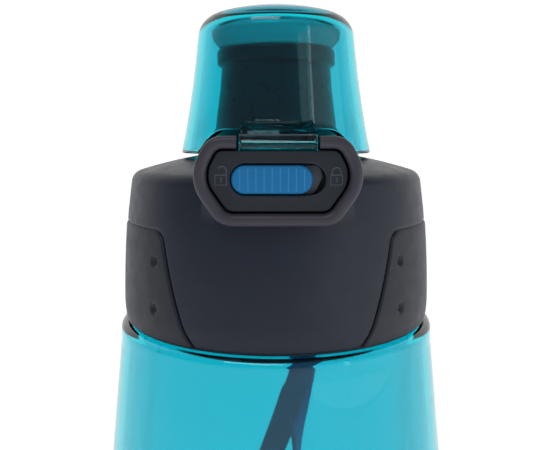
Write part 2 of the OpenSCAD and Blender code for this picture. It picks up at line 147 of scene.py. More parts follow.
def dense(line, step, closed=False):
    """The same line with no two points further apart than step."""
    ends = line[1:] + line[:1] if closed else line[1:]
    out = []
    for a, b in zip(line, ends):
        parts = max(1, math.ceil(math.dist(a, b) / step))
        out += [tuple(p + (q - p) * k / parts for p, q in zip(a, b)) for k in range(parts)]
    return out if closed else out + [line[-1]]


def grown(outline, by):
    """A clockwise closed outline moved out by a distance."""
    out = []
    for i, b in enumerate(outline):
        b = Vector(b)
        e = (b - Vector(outline[i - 1])).normalized()
        f = (Vector(outline[(i + 1) % len(outline)]) - b).normalized()
        n, m = Vector((-e.y, e.x)), Vector((-f.y, f.x))
        out.append(tuple(b + (n + m) * by / (1 + n.dot(m))))
    return out


# ---- meshes ----


def mesh_object(name, points, faces, angle=35):
    """A shown mesh from points in millimetres, smooth except at edges sharper than angle degrees."""
    mesh = bpy.data.meshes.new(name)
    mesh.from_pydata([[c * MM for c in p] for p in points], [], faces)
    shape = bmesh.new()
    shape.from_mesh(mesh)
    bmesh.ops.recalc_face_normals(shape, faces=shape.faces)
    shape.to_mesh(mesh)
    shape.free()
    obj = bpy.data.objects.new(name, mesh)
    bpy.context.scene.collection.objects.link(obj)
    shade(obj, angle)
    return obj


def shade(obj, angle=35):
    """Smooth shading, except at edges sharper than angle degrees."""
    obj.data.shade_smooth()
    obj.data.set_sharp_from_angle(angle=math.radians(angle))


def even_normals(obj):
    """Lets flat faces look flat beside their rounded edges."""
    modifier = obj.modifiers.new("even_normals", "WEIGHTED_NORMAL")
    modifier.keep_sharp = True
    modifier.weight = 75
    return obj


def lathe(name, profile, segments=192, bulge=None):
    """A solid turned about Z.

    profile is a line of (radius, height) from axis to axis, or a closed loop clear of the axis. bulge(angle,
    radius, height) moves a point outwards.
    """
    points, faces, rings = [], [], []
    for r, z in profile:
        start = len(points)
        if r < 1e-6:
            points.append((0, 0, z))
        else:
            for k in range(segments):
                a = 2 * math.pi * k / segments
                q = r + (bulge(a, r, z) if bulge else 0)
                points.append((q * math.cos(a), q * math.sin(a), z))
        rings.append(range(start, len(points)))
    pairs = list(zip(rings, rings[1:]))
    if len(rings[0]) > 1 and len(rings[-1]) > 1:
        pairs.append((rings[-1], rings[0]))
    for a, b in pairs:
        for k in range(segments):
            n = (k + 1) % segments
            quad = [a[k % len(a)], a[n % len(a)], b[n % len(b)], b[k % len(b)]]
            faces.append(list(dict.fromkeys(quad)))
    return mesh_object(name, points, faces)


def skin(name, rings, angle=35):
    """A solid through rings of points, closed at both ends."""
    m = len(rings[0])
    points = [p for r in rings for p in r]
    faces = []
    for i in range(len(rings) - 1):
        a, b = i * m, (i + 1) * m
        faces += [[a + k, a + (k + 1) % m, b + (k + 1) % m, b + k] for k in range(m)]
    faces += [list(range(m)), list(range(len(points) - m, len(points)))]
    return mesh_object(name, points, faces, angle)


# where a slab's outline point (a, b) lies at a depth d along its axis
PLANES = {"x": lambda a, b, d: (d, a, b), "y": lambda a, b, d: (a, d, b)}


def slab(name, outline, start, end, edge, axis="y", steps=4):
    """A clockwise outline, solid from start to end along axis, its two rims rounded by edge."""
    place = PLANES[axis]
    rims = [(edge * (1 - math.sin(a)), edge * (1 - math.cos(a)))
            for a in (math.pi / 2 * k / steps for k in range(steps + 1))]
    rings = [[place(p[0], p[1], start + depth) for p in grown(outline, -inset)] for inset, depth in rims]
    rings += [[place(p[0], p[1], end - depth) for p in grown(outline, -inset)]
              for inset, depth in reversed(rims)]
    return even_normals(skin(name, rings))


def combine(target, tools, operation="UNION"):
    """Joins tools to target, or cuts them from it, and removes them."""
    for tool in tools:
        modifier = target.modifiers.new("combine", "BOOLEAN")
        modifier.operation = operation
        modifier.solver = "MANIFOLD"
        modifier.object = tool
    keep_modified(target)
    for tool in tools:
        bpy.data.objects.remove(tool)
    return target


def keep_modified(obj):
    """Makes what the modifiers do to obj its own mesh."""
    graph = bpy.context.evaluated_depsgraph_get()
    made = bpy.data.meshes.new_from_object(obj.evaluated_get(graph))
    obj.modifiers.clear()
    obj.data = made


def wires(name, lines, radius):
    """One piece of thin round wire along several lines."""
    data = bpy.data.curves.new(name, "CURVE")
    data.dimensions = "3D"
    data.bevel_depth = radius * MM
    data.bevel_resolution = 4
    data.use_fill_caps = True
    for line in lines:
        spline = data.splines.new("POLY")
        spline.points.add(len(line) - 1)
        for point, p in zip(spline.points, line):
            point.co = (p[0] * MM, p[1] * MM, p[2] * MM, 1)
    obj = bpy.data.objects.new(name, data)
    bpy.context.scene.collection.objects.link(obj)
    return obj


# ---- carry strap ----

STRAP_WIDTH = 8.4
STRAP_THICKNESS = 1.3
RIB = 0.8  # distance between two ribs of its weave

# the strap's middle line, and how far its width is turned from X, in degrees: over the bar, down behind the
# bottle, round the hand loop and back up to the bar
STRAP_ROUTE = [
    (9.2, 38.6, 205.1, 0), (9.2, 37.1, 204.5, 0), (9.2, 36.5, 203, 0), (9.2, 36.5, 200, 0),
    (9.3, 36.9, 195, 0), (9.4, 37.9, 187, 0), (9.5, 39.2, 179, 0), (9.4, 40.7, 171, 0),
    (9, 42, 163, 0), (7.8, 42.6, 156, 0), (5.6, 42.8, 149, 0), (2.8, 42.9, 141, 4),
    (-0.6, 43, 132, 10), (-4, 43.2, 123, 20), (-7.2, 43.7, 114, 38), (-10, 44.6, 104, 60),
    (-11.5, 45.4, 94, 80), (-11, 45.8, 84, 90), (-8, 46, 76, 90), (-3, 46, 72, 90),
    (2.5, 46, 73, 90), (6.5, 46, 78, 90), (8.6, 46, 86, 90), (9.2, 46, 96, 90),
    (9, 46, 107, 90), (8.4, 46, 118, 86), (7.8, 45.9, 128, 78), (7.8, 45.6, 137, 60),
    (8.2, 45.2, 146, 34), (8.7, 44.8, 154, 12), (9.1, 44.2, 162, 2), (9.4, 43.4, 170, 0),
    (9.5, 42.5, 179, 0), (9.4, 41.7, 188, 0), (9.3, 41.1, 196, 0), (9.2, 40.7, 201, 0),
    (9.2, 40.6, 203.4, 0), (9.2, 40.1, 204.5, 0), (9.2, 38.8, 205.1, 0)]


def strap_frames(step):
    """(middle, across, up, distance) along the strap, one each step."""
    line = [Vector(p) for p in smooth(STRAP_ROUTE, 24)]
    frames, gone, due = [], 0.0, 0.0
    for i, p in enumerate(line):
        here = Vector(p[:3])
        if i:
            gone += (here - Vector(line[i - 1][:3])).length
        if gone < due and i < len(line) - 1:
            continue
        along = (Vector(line[min(i + 1, len(line) - 1)][:3]) - Vector(line[max(i - 1, 0)][:3])).normalized()
        turn = math.radians(p[3])
        flat = Vector((math.cos(turn), math.sin(turn), 0))
        across = (flat - flat.dot(along) * along).normalized()
        frames.append((here, across, along.cross(across), gone))
        due = gone + step
    return frames


def make_strap():
    """Flat webbing with thick woven edges and a rib across it for every pair of weft threads."""
    half, thick = STRAP_WIDTH / 2, STRAP_THICKNESS / 2
    edge = thick * 0.9
    section = [(half - edge + edge * math.cos(a), thick * math.sin(a)) for a in
               (math.radians(d) for d in range(-90, 91, 30))]
    face = [half * s for s in (0.7, 0.5, 0.3, 0.1, -0.1, -0.3, -0.5, -0.7)]
    section += [(x, thick * 0.94) for x in face]
    section += [(-x, y) for x, y in reversed(section[:7])]
    section += [(-x, -thick * 0.94) for x in face]
    rings = []
    for here, across, up, gone in strap_frames(RIB / 4):
        rib = 1 - 0.09 * (0.5 + 0.5 * math.cos(2 * math.pi * gone / RIB))
        rings.append([here + x * across + y * rib * up for x, y in section])
    strap = skin("woven_strap", rings, angle=60)
    layer = strap.data.uv_layers.new(name="weave")
    frames = strap_frames(RIB / 4)
    m = len(section)
    for loop in strap.data.loops:
        ring, k = divmod(loop.vertex_index, m)
        layer.data[loop.index].uv = (frames[ring][3] * MM, section[k][0] * MM)
    return strap


def strap_path():
    return [tuple(c * MM for c in here) for here, _, _, _ in strap_frames(2)]


# ---- materials ----


class Finish:
    """A material in the making: one Principled shader and the nodes that feed it."""

    def __init__(self, name, **values):
        self.material = bpy.data.materials.new(name)
        self.material.use_nodes = True
        self.tree = self.material.node_tree
        self.shader = self.tree.nodes["Principled BSDF"]
        self.place = self.node("ShaderNodeTexCoord").outputs["Object"]
        for socket, value in values.items():
            self.shader.inputs[socket.replace("_", " ")].default_value = value

    def node(self, kind, **sockets):
        made = self.tree.nodes.new(kind)
        for socket, value in sockets.items():
            self.feed(value, made.inputs[socket.replace("_", " ")])
        return made

    def feed(self, value, socket):
        if isinstance(value, bpy.types.NodeSocket):
            self.tree.links.new(value, socket)
        else:
            socket.default_value = value

    def noise(self, size, detail=3.0, stretch=(1, 1, 1), seed=0.0):
        """Cloudy noise from 0 to 1 whose blobs are about size millimetres across."""
        mapped = self.node("ShaderNodeMapping", Vector=self.place, Scale=stretch, Location=(seed, seed, seed))
        return self.node("ShaderNodeTexNoise", Vector=mapped.outputs[0], Scale=1 / (size * MM),
                         Detail=detail).outputs["Fac"]

    def between(self, factor, first, second, start=0.3, end=0.7):
        """A number that goes from first to second as factor goes from start to end."""
        made = self.node("ShaderNodeMapRange", Value=factor)
        for i, value in enumerate((start, end, first, second)):
            made.inputs[i + 1].default_value = value
        return made.outputs[0]

    def colours(self, factor, *stops):
        """A colour picked by factor along (position, colour) stops."""
        made = self.node("ShaderNodeValToRGB", Fac=factor)
        ramp = made.color_ramp
        while len(ramp.elements) < len(stops):
            ramp.elements.new(0.5)
        for element, (position, colour) in zip(ramp.elements, stops):
            element.position = position
            element.color = (*colour, 1)
        return made.outputs[0]

    def bump(self, height, depth, under=None):
        """Raises the surface by height times depth millimetres, on top of the bump under it."""
        made = self.node("ShaderNodeBump", Height=height)
        made.inputs["Distance"].default_value = depth * MM
        if under is not None:
            self.feed(under, made.inputs["Normal"])
        return made.outputs[0]

    def set(self, socket, value):
        self.feed(value, self.shader.inputs[socket])


def clear_plastic():
    """Transparent teal copolyester: glossy, faintly wavy, and deeper in colour where it is thick."""
    f = Finish("clear_teal", Base_Color=(0.0, 0.68, 0.77, 1), Transmission_Weight=1, IOR=1.4)
    f.set("Roughness", f.between(f.noise(9), 0.02, 0.05))
    f.set("Normal", f.bump(f.noise(14, detail=1), 0.02))
    depth = f.node("ShaderNodeVolumeAbsorption", Color=(0, 0.66, 0.72, 1), Density=80)
    f.tree.links.new(depth.outputs[0], f.tree.nodes["Material Output"].inputs["Volume"])
    return f.material


def moulded_plastic(name, dark, light, rough, grain=0.012):
    """Satin moulded plastic: a fine spark-eroded grain, and colour and gloss that drift a little."""
    f = Finish(name, IOR=1.38)
    f.set("Base Color", f.colours(f.noise(6), (0.3, dark), (0.7, light)))
    f.set("Roughness", f.between(f.noise(3, seed=3), rough - 0.04, rough + 0.05))
    f.set("Normal", f.bump(f.noise(0.35, detail=2), grain, f.bump(f.noise(12, detail=1), 0.03)))
    return f.material


def seal_rubber(name, colour, through):
    """Soft silicone that lets some light in."""
    f = Finish(name, IOR=1.41, Transmission_Weight=through, Subsurface_Weight=0.2)
    f.shader.inputs["Subsurface Radius"].default_value = (0.002, 0.002, 0.002)
    f.set("Base Color", f.colours(f.noise(5), (0.3, colour), (0.7, tuple(c * 0.9 for c in colour))))
    f.set("Roughness", f.between(f.noise(2, seed=5), 0.36, 0.5))
    f.set("Normal", f.bump(f.noise(0.5), 0.01))
    return f.material


def bright_steel():
    """Drawn stainless wire and rod, with fine lines along X."""
    f = Finish("steel", Metallic=1)
    f.set("Base Color", f.colours(f.noise(4), (0.3, (0.60, 0.60, 0.61)), (0.7, (0.70, 0.70, 0.71))))
    f.set("Roughness", f.between(f.noise(0.3, stretch=(0.05, 1, 1)), 0.2, 0.36))
    f.set("Normal", f.bump(f.noise(0.2, stretch=(0.05, 1, 1)), 0.004))
    return f.material


def webbing():
    """Woven polyester: threads in rows that shift by half a thread from row to row, and fuzz."""
    f = Finish("webbing", Roughness=0.82, Sheen_Weight=0.35, Sheen_Roughness=0.5, IOR=1.4)
    place = f.node("ShaderNodeUVMap")
    place.uv_map = "weave"
    grid = f.node("ShaderNodeTexBrick", Vector=place.outputs[0], Scale=1 / MM, Mortar_Size=0.09,
                  Brick_Width=RIB, Row_Height=0.42, Mortar_Smooth=1.0)
    grid.offset = 0.5
    thread = f.between(grid.outputs["Fac"], 1, 0, 0, 1)
    shade_of = f.node("ShaderNodeMath", Value=0.0)
    shade_of.operation = "MULTIPLY"
    f.feed(thread, shade_of.inputs[0])
    f.feed(f.between(f.noise(1.2), 0.75, 1.0), shade_of.inputs[1])
    f.set("Base Color", f.colours(shade_of.outputs[0], (0.0, (0.004, 0.022, 0.13)),
                                  (0.55, (0.008, 0.065, 0.32)), (1.0, (0.012, 0.10, 0.45))))
    f.set("Normal", f.bump(thread, 0.10, f.bump(f.noise(0.15), 0.03)))
    return f.material


def finish_piece(obj, material):
    """Gives a piece its one material."""
    obj.data.materials.clear()
    obj.data.materials.append(material)


def add(obj, body, material, slot, *nodes):
    """Puts a finished piece on its body, in place of the nodes that it stands for."""
    finish_piece(obj, material)
    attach(obj, body)
    if nodes:
        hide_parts(*nodes)
    return obj


# ---- bottle ----

BODY_RADIUS = high("bottle_body").x
FOOT_RADIUS = BODY_RADIUS - 1.6
NECK_RADIUS = 30.2
MOUTH_RADIUS = 27.6
WALL = 2.1
SHOULDER_WALL = 1.6
PITCH = 5
TURNS = 1.25
FOOT_TOP = 62
FOOT_BLEND = 14  # height over which the foot widens into the barrel
BASE_RISE = 4.5  # height of the base's middle
THREAD_START = SHOULDER + 7
THREAD_DEPTH = 1.1
BARREL_TOP = SHOULDER - 48.9
TAPER_START = SHOULDER - 30.9
TAPER = 0.105
ROLL = 1.7


def side_radius(z):
    """The bottle's outside radius above its foot: a cylinder that bends into a cone."""
    bend = TAPER / 2 / (TAPER_START - BARREL_TOP)
    if z <= BARREL_TOP:
        return BODY_RADIUS
    if z <= TAPER_START:
        return BODY_RADIUS - bend * (z - BARREL_TOP) ** 2
    return BODY_RADIUS - TAPER * (TAPER_START - BARREL_TOP) / 2 - TAPER * (z - TAPER_START)


def flank(inset):
    """The side from the foot up to the shoulder, moved in by inset."""
    swell = BODY_RADIUS - FOOT_RADIUS
    foot = [(FOOT_RADIUS + swell * (1 - math.cos(math.pi * t / FOOT_BLEND)) / 2 - inset, FOOT_TOP + t)
            for t in range(FOOT_BLEND + 1)]
    steps = 24
    top = SHOULDER - 5
    rise = [BARREL_TOP - 4 + (top - BARREL_TOP + 4) * i / steps for i in range(steps + 1)]
    return foot + [(side_radius(z) - inset, z) for z in rise]


def thread_height(angle, z):
    """How far a thread of one millimetre stands out of the neck at an angle and a height."""
    best = 0
    for lap in (0, 1):
        turn = angle / (2 * math.pi) + lap
        if turn <= TURNS:
            off = abs(z - THREAD_START - PITCH * turn)
            fade = min(1, turn * 12, (TURNS - turn) * 12)
            best = max(best, fade * min(1, max(0, (1.2 - off) / 0.6)))
    return best


def make_bottle():
    roll = side_radius(SHOULDER - ROLL)
    step = 0.3
    steps = round((NECK_TOP - SHOULDER - 3) / step)
    neck = [(NECK_RADIUS, SHOULDER + 1.6 + step * k) for k in range(1 + steps)]
    outside = filleted([(0, BASE_RISE, 0), (13, 4.3, 12), (25, 0, 5), (FOOT_RADIUS, 0, 9),
                        (FOOT_RADIUS, FOOT_TOP - 1, 0)])
    outside += flank(0)
    outside += filleted([(side_radius(SHOULDER - 4), SHOULDER - 4, 0), (roll + 0.18, SHOULDER, ROLL),
                         (NECK_RADIUS, SHOULDER, 0.8), (NECK_RADIUS, SHOULDER + 1.5, 0)])
    under = SHOULDER - SHOULDER_WALL
    rim = filleted([(NECK_RADIUS, NECK_TOP - 1.2, 0), (NECK_RADIUS, NECK_TOP, 0.8),
                    (MOUTH_RADIUS, NECK_TOP, 0.5), (MOUTH_RADIUS, under, 0.6), (roll - WALL, under, 0.5),
                    (side_radius(SHOULDER - 8) - WALL, SHOULDER - 8, 0)], degrees=12)
    hollow = [(0, BASE_RISE + WALL, 0), (13, 4.3 + WALL, 12), (25, WALL, 5), (FOOT_RADIUS - WALL, WALL, 7.5),
              (FOOT_RADIUS - WALL, FOOT_TOP - 1, 0)]
    inside = filleted(hollow) + flank(WALL)[:-3]
    profile = dense(outside, 3) + neck + dense(rim, 2.5) + dense(inside, 3)[::-1]

    def bulge(angle, r, z):
        on_neck = abs(r - NECK_RADIUS) < 0.01 and SHOULDER + 1 < z < NECK_TOP - 1
        return THREAD_DEPTH * thread_height(angle, z) if on_neck else 0

    return lathe("clear_bottle", profile, 192, bulge)


# ---- lid ----

PANEL_PROUD = 0.2
LID_RADIUS = 35.6
LINER_RADIUS = 33.2
COLLAR_RADIUS = 15
COLLAR_WALL = 2.2
ROOF = 1.8
PANEL_TOP = LID + 22
PANEL_HALF = 25.8         # half the width of a side panel's top edge
PANEL_SPREAD = 6 / 26     # width that each side gains for a millimetre down
PANEL_CORNER = 2.2
PANEL_BACK = 34.45
PANEL_EDGE = 0.7          # radius of its rounded edge
DIMPLE_ROWS = (LID + 15.8, LID + 6.1)
DIMPLE_RADIUS = 1.2
DIMPLE_DEPTH = 0.7


def lid_side(z):
    """The lid's outside radius, which swells on the way down and draws in again at the lower edge."""
    return LID_RADIUS - 0.002 * (z - LID) ** 2 - 0.02 * max(0, LID + 4.5 - z) ** 2


def dome(r):
    """The height of the lid's top at a radius."""
    return LID + 38.25 - 0.00485 * r * r


def inside_panel(angle, z):
    """How far a point on the lid's side lies within the nearer side panel, less than 0 outside it."""
    down = PANEL_TOP - z
    reach = PANEL_HALF + PANEL_SPREAD * down
    across = (reach - lid_side(z) * abs(math.sin(angle))) / max(0.35, abs(math.cos(angle)))
    if down < PANEL_CORNER and across < PANEL_CORNER:
        return PANEL_CORNER - math.hypot(PANEL_CORNER - down, PANEL_CORNER - across)
    return min(down, across)


def eased(t):
    """t held between 0 and 1, starting and ending gently."""
    t = min(1, max(0, t))
    return t * t * (3 - 2 * t)


def recess(angle, r, z):
    """Sinks the lid's side where the side panels sit."""
    if r < LID_RADIUS - 1.3 or z > PANEL_TOP + 1.5:
        return 0
    return (PANEL_BACK - 0.1 - r) * eased((inside_panel(angle, z) + 0.5) / 0.4)


def box(x, y, z):
    """A block between two corners, the rims of its ends along X barely rounded."""
    outline = [(y[0], z[1]), (y[1], z[1]), (y[1], z[0]), (y[0], z[0])]
    return slab("block", outline, x[0], x[1], 0.05, "x")


def bore_x(y, z, radius):
    """A long cylinder along X, for cutting a hole."""
    bore = lathe("bore", [(0, -20), (radius, -20), (radius, 20), (0, 20)], 48)
    bore.rotation_euler = (0, math.pi / 2, 0)
    bore.location = (0, y * MM, z * MM)
    return bore


def make_lid():
    """The lid's cover: skirt, dome and collar, the latch's housing in front and two pairs of ears behind."""
    step = 0.35
    heights = [SKIRT + 0.7 + step * i for i in range(round(24.5 / step))]
    side = [(lid_side(z), z) for z in heights]
    shoulder = arc((30.6, LID + 30.6), 2.95, 6, 72, 14)
    top = [(31 - i, dome(31 - i)) for i in range(15)]
    collar, foot_z = COLLAR_RADIUS + COLLAR_WALL, FLANGE + 1.7
    well = filleted([(16, dome(16), 0), (COLLAR_RADIUS, dome(COLLAR_RADIUS), 0.45),
                     (COLLAR_RADIUS, foot_z, 0.3), (collar, foot_z, 0.3), (collar, dome(17) - ROOF - 0.5, 0)])
    under = [(r, dome(r) - ROOF) for r in range(18, 29, 2)]
    inside = [(LINER_RADIUS - 2.6, LID + 31), (LINER_RADIUS - 1.1, LID + 28), (LINER_RADIUS, LID + 22.5)]
    foot = filleted([(LINER_RADIUS, SKIRT + 1.5, 0), (LINER_RADIUS, SKIRT, 0.25),
                     (lid_side(SKIRT), SKIRT, 0.45), (lid_side(SKIRT + 0.65), SKIRT + 0.65, 0)])
    profile = side + shoulder + top + dense(well, 2) + under + dense(inside, 3) + foot
    lid = lathe("lid_cover", profile, 768, recess)
    ear = filleted([(HINGE.y - 3, LID + 32.5, 0.2), (HINGE.y - 3, HINGE.z + 3, 2.98),
                    (HINGE.y + 3, HINGE.z + 3, 2.98), (HINGE.y + 3, LID + 32.5, 0.2)], closed=True)
    lug = filleted([(30.4, BAR.z + 5.5, 0.3), (BAR.y + 1.9, BAR.z + 1.9, 1.8),
                    (BAR.y + 1.9, BAR.z - 1.9, 1.8), (30.4, BAR.z - 5.5, 0.3)], closed=True)
    roof = [(x, z + LATCH) for x, z in filleted([(12.4, 7.6, 2), (15.5, 1.2, 0.3), (-15.5, 1.2, 0.3),
                                                 (-12.4, 7.6, 2)], closed=True)]
    solids = [slab("tower", plate_outline(2.4), TOWER_FRONT, TOWER_BACK, 0.3),
              slab("roof", roof, TOWER_BACK - 0.8, -17.5, 0.5)]
    for side_of in (-1, 1):
        solids.append(slab("ear", ear, *sorted((side_of * 8.5, side_of * 11.5)), 0.4, "x"))
        solids.append(slab("lug", lug, *sorted((side_of * 13.9, side_of * 16.7)), 0.5, "x"))
    combine(lid, solids)
    half = TONGUE_GAP / 2
    mouth = TOWER_FRONT - 5  # well in front of the lid
    cuts = [slab("cavity", plate_outline(1.2), mouth, CAVITY_BACK, 0.02),
            box((-half, half), (mouth, -16), (LATCH + 6, LATCH + 20)),
            lathe("well", [(0, FLANGE), (COLLAR_RADIUS, FLANGE), (COLLAR_RADIUS, LID + 60), (0, LID + 60)]),
            bore_x(HINGE.y, HINGE.z, 1.26), bore_x(BAR.y, BAR.z, 1.26)]
    combine(lid, cuts, "DIFFERENCE")
    shade(lid, 38)
    return lid


def make_grip(side):
    """A side panel: a curved plate with rounded edges and four shallow dimples."""
    columns, rows = 200, 76
    top, bottom = PANEL_TOP, SKIRT + 0.3
    front, back = [], []
    for j in range(rows + 1):
        v = j / rows
        z = top - (top - bottom) * (1 - math.cos(math.pi * v / 2)) ** 0.9
        down = top - z
        reach = PANEL_HALF + PANEL_SPREAD * down
        if down < PANEL_CORNER:
            reach -= 0.72 * (PANEL_CORNER - math.sqrt(PANEL_CORNER**2 - (PANEL_CORNER - down) ** 2))
        limit = math.asin(reach / lid_side(z))
        for i in range(columns + 1):
            a = limit * math.sin(math.pi / 2 * (2 * i / columns - 1))
            depth = max(0, min(PANEL_EDGE, inside_panel(a, z)))
            depth = PANEL_EDGE if j == 0 and depth > PANEL_EDGE else depth
            r = lid_side(z) + PANEL_PROUD - PANEL_EDGE + math.sqrt(PANEL_EDGE**2 - (PANEL_EDGE - depth) ** 2)
            for row in DIMPLE_ROWS:
                for turn in (-math.pi / 4, math.pi / 4):
                    off = math.hypot(lid_side(z) * (a - turn), z - row)
                    if off < DIMPLE_RADIUS:
                        r -= DIMPLE_DEPTH * eased(1.6 * (1 - off / DIMPLE_RADIUS))
            front.append((side * r * math.cos(a), r * math.sin(a), z))
            back.append((side * PANEL_BACK * math.cos(a), PANEL_BACK * math.sin(a), z))
    width, count = columns + 1, len(front)
    faces = []
    for j in range(rows):
        for i in range(columns):
            a = j * width + i
            faces.append([a, a + 1, a + width + 1, a + width])
            faces.append([count + a, count + a + width, count + a + width + 1, count + a + 1])
    last = rows * width
    rim = list(range(width)) + [width * (j + 1) - 1 for j in range(1, rows + 1)]
    rim += list(range(last + columns - 1, last - 1, -1)) + [width * j for j in range(rows - 1, 0, -1)]
    for a, b in zip(rim, rim[1:] + rim[:1]):
        faces.append([a, b, count + b, count + a])
    return mesh_object("grip_panel_" + ("left" if side < 0 else "right"), front + back, faces, 50)


def make_spout():
    bore, collar, lip = 10.8, 14.7, 13.6
    top = high("spout").z
    corners = [(bore, FLANGE, 0.3), (20, FLANGE, 0.3), (20, FLANGE + 1.6, 0.4), (collar, FLANGE + 1.6, 0.4),
               (collar, LID + 40, 3), (14.1, LID + 43.5, 8), (13, LID + 51.5, 20), (12.6, LID + 56.6, 0.5),
               (lip, LID + 57.2, 0.35), (lip, top, 0.9), (bore, top, 1.0)]
    return lathe("drinking_spout", dense(filleted(corners, closed=True), 1.2, closed=True), 128)


def make_cap_seal():
    ceiling = high("cap_seal").z
    z = SEAL
    corners = [(0, z + 0.9, 0), (9, z + 0.9, 0.5), (10.2, z, 0.3), (12.9, z, 0.5), (14.4, z + 1.6, 2.5),
               (15.0, z + 3.6, 1.5), (13.6, z + 4.8, 0.8), (9, ceiling, 2), (0, ceiling, 0)]
    return lathe("cap_plug", dense(filleted(corners), 1), 128)


# ---- latch ----

# the push plate's corners and their radii, clockwise from the upper right, from the latch's middle
PLATE = [(10.9, 5.2), (13.5, 0.4), (9.2, -5.8), (-9.2, -5.8), (-13.5, 0.4), (-10.9, 5.2)]
PLATE_CORNERS = [1.6, 5, 2.2, 2.2, 5, 1.6]
TONGUE_GAP = 15
BEZEL_FRONT = low("latch_bezel").y
BEZEL_BACK = high("latch_bezel").y
PLATE_FRONT = -36.6
PLATE_BACK = -35
TOWER_FRONT = -36   # the latch's housing on the lid, and the hollow in it
TOWER_BACK = -22.8
CAVITY_BACK = -24
SLOT_HALF = 8.6
SLOT_HEIGHT = 5.6


def plate_outline(by):
    """The release button's outline, clockwise, moved out by a distance."""
    corners = [(x, z, r + by) for (x, z), r in zip(grown(PLATE, by), PLATE_CORNERS)]
    return [(x, z + LATCH) for x, z in filleted(corners, closed=True)]


def make_bezel():
    """A half-round bar along the button's outline, open at the top for the cap's tongue."""
    middle, half, soft = 1.55, 1.15, 0.95
    depth = BEZEL_BACK - BEZEL_FRONT
    section = [(-half, depth), (-half, depth / 2)] + arc((-half + soft, soft), soft, 180, 270, 8)
    section += arc((half - soft, soft), soft, 270, 360, 8) + [(half, depth / 2), (half, depth)]
    line = dense(plate_outline(middle), 0.6)
    end = TONGUE_GAP / 2
    lines = []
    for out, _ in section:
        bar = grown(line, out)
        lines.append([(end, bar[0][1])] + bar + [(-end, bar[-1][1])])
    rings = [[(bar[i][0], BEZEL_FRONT + y, bar[i][1]) for bar, (_, y) in zip(lines, section)]
             for i in range(len(line) + 2)]
    return skin("latch_surround", rings)


def stadium(half, height, corner):
    """A clockwise slot outline round the latch's middle."""
    h = height / 2
    corners = [(half, h, corner), (half, -h, corner), (-half, -h, corner), (-half, h, corner)]
    return [(x, z + LATCH) for x, z in filleted(corners, closed=True, degrees=7.5)]


def make_button():
    """The push plate with the lock's slot through it, the slot's mouth rounded."""
    plate = slab("push_plate", plate_outline(0.12), PLATE_FRONT, PLATE_BACK - 0.2, 0.28)
    outline = stadium(SLOT_HALF, SLOT_HEIGHT, SLOT_HEIGHT / 2 - 0.01)
    edge = 0.4
    turns = [math.pi / 2 * k / 4 for k in range(5)]
    rims = [(edge, -1)] + [(edge * (1 - math.sin(a)), edge * (1 - math.cos(a))) for a in turns] + [(0, 3)]
    slot = skin("slot", [[(x, PLATE_FRONT + depth, z) for x, z in grown(outline, out)]
                         for out, depth in rims])
    return even_normals(combine(plate, [slot], "DIFFERENCE"))


def padlock_lines(x, shut):
    """The strokes of a padlock: a body, a keyhole and a shackle that is shut or swung open."""
    y, z = PLATE_FRONT, LATCH
    body = [(1.05, 0.85), (1.05, -0.95), (-1.05, -0.95), (-1.05, 0.85), (1.05, 0.85)]
    start, centre = (180, (0, 0.85 + 0.55)) if shut else (150, (0.25, 0.85 + 0.75))
    shackle = arc(centre, 0.8, start, 0, 12)
    if shut:
        shackle = [(-0.8, 0.85)] + shackle
    shackle += [(centre[0] + 0.8, 0.85)]
    keyhole = [(0.16, 0.2), (-0.16, 0.2), (0, 0.35), (0.16, 0.2), (0, -0.45)]
    return [[(x + a, y, z + b) for a, b in line] for line in (body, shackle, keyhole)]


LOCK_MIDDLE = -1.1
LOCK_HALF = 7.4
LOCK_HEIGHT = 5.2
LOCK_CORNER = 2.45
LOCK_FRONT = -37.25
RIBS = 9
RIB_PITCH = 1.46


def make_slider():
    """The sliding lock: a thumb pad with round ends, its upright ribs and the floor of its slot."""
    outline = [(x + LOCK_MIDDLE, z) for x, z in stadium(LOCK_HALF, LOCK_HEIGHT, LOCK_CORNER)]
    pad = slab("lock_pad", outline, LOCK_FRONT, PLATE_BACK + 0.4, 0.6, steps=6)
    rods = []
    for i in range(RIBS):
        off = (i - (RIBS - 1) / 2) * RIB_PITCH
        past = max(0, abs(off) - LOCK_HALF + LOCK_CORNER)
        reach = LOCK_HEIGHT / 2 - LOCK_CORNER + math.sqrt(LOCK_CORNER**2 - past**2) - 0.5
        rods.append([(LOCK_MIDDLE + off, LOCK_FRONT + 0.06, LATCH + end * reach) for end in (-1, 1)])
    corners = [(-6.6, -3.8), (-7.9, -2), (-7.9, 2.5), (8.8, 2.5), (9.4, 0.4), (8.2, -2), (6.6, -3.8)]
    floor = filleted([(x + LOCK_MIDDLE, z + LATCH, 0.4) for x, z in corners], closed=True)
    return pad, wires("lock_ribs", rods, 0.13), slab("lock_floor", floor, -34.7, -33.7, 0.1)


# ---- cap ----

CAP_WALL = 1.7
CAP_COLUMNS = 288
CUT_HALF = 16.9    # half the width of the cut-out over the latch, at the cap's edge
CUT_FLAT = 9       # and where its top turns flat
CUT_HEIGHT = 5.1
TONGUE_HALF = 7.05
CATCH_HALF = 3.3
ARM_ENDS = (3.6, 8.2)


def cap_side(z):
    """The cap's outside radius at a height."""
    h = z - CAP
    return CAP_RADIUS - 0.222 * h + 0.0024 * h * h


def cut_height(x):
    """How high the cap's lower edge rises over the latch, at a distance x to the side."""
    u = min(1, max(0, (CUT_HALF - abs(x)) / (CUT_HALF - CUT_FLAT)))
    return CUT_HEIGHT * (1 - (1 - u) ** 3.4)


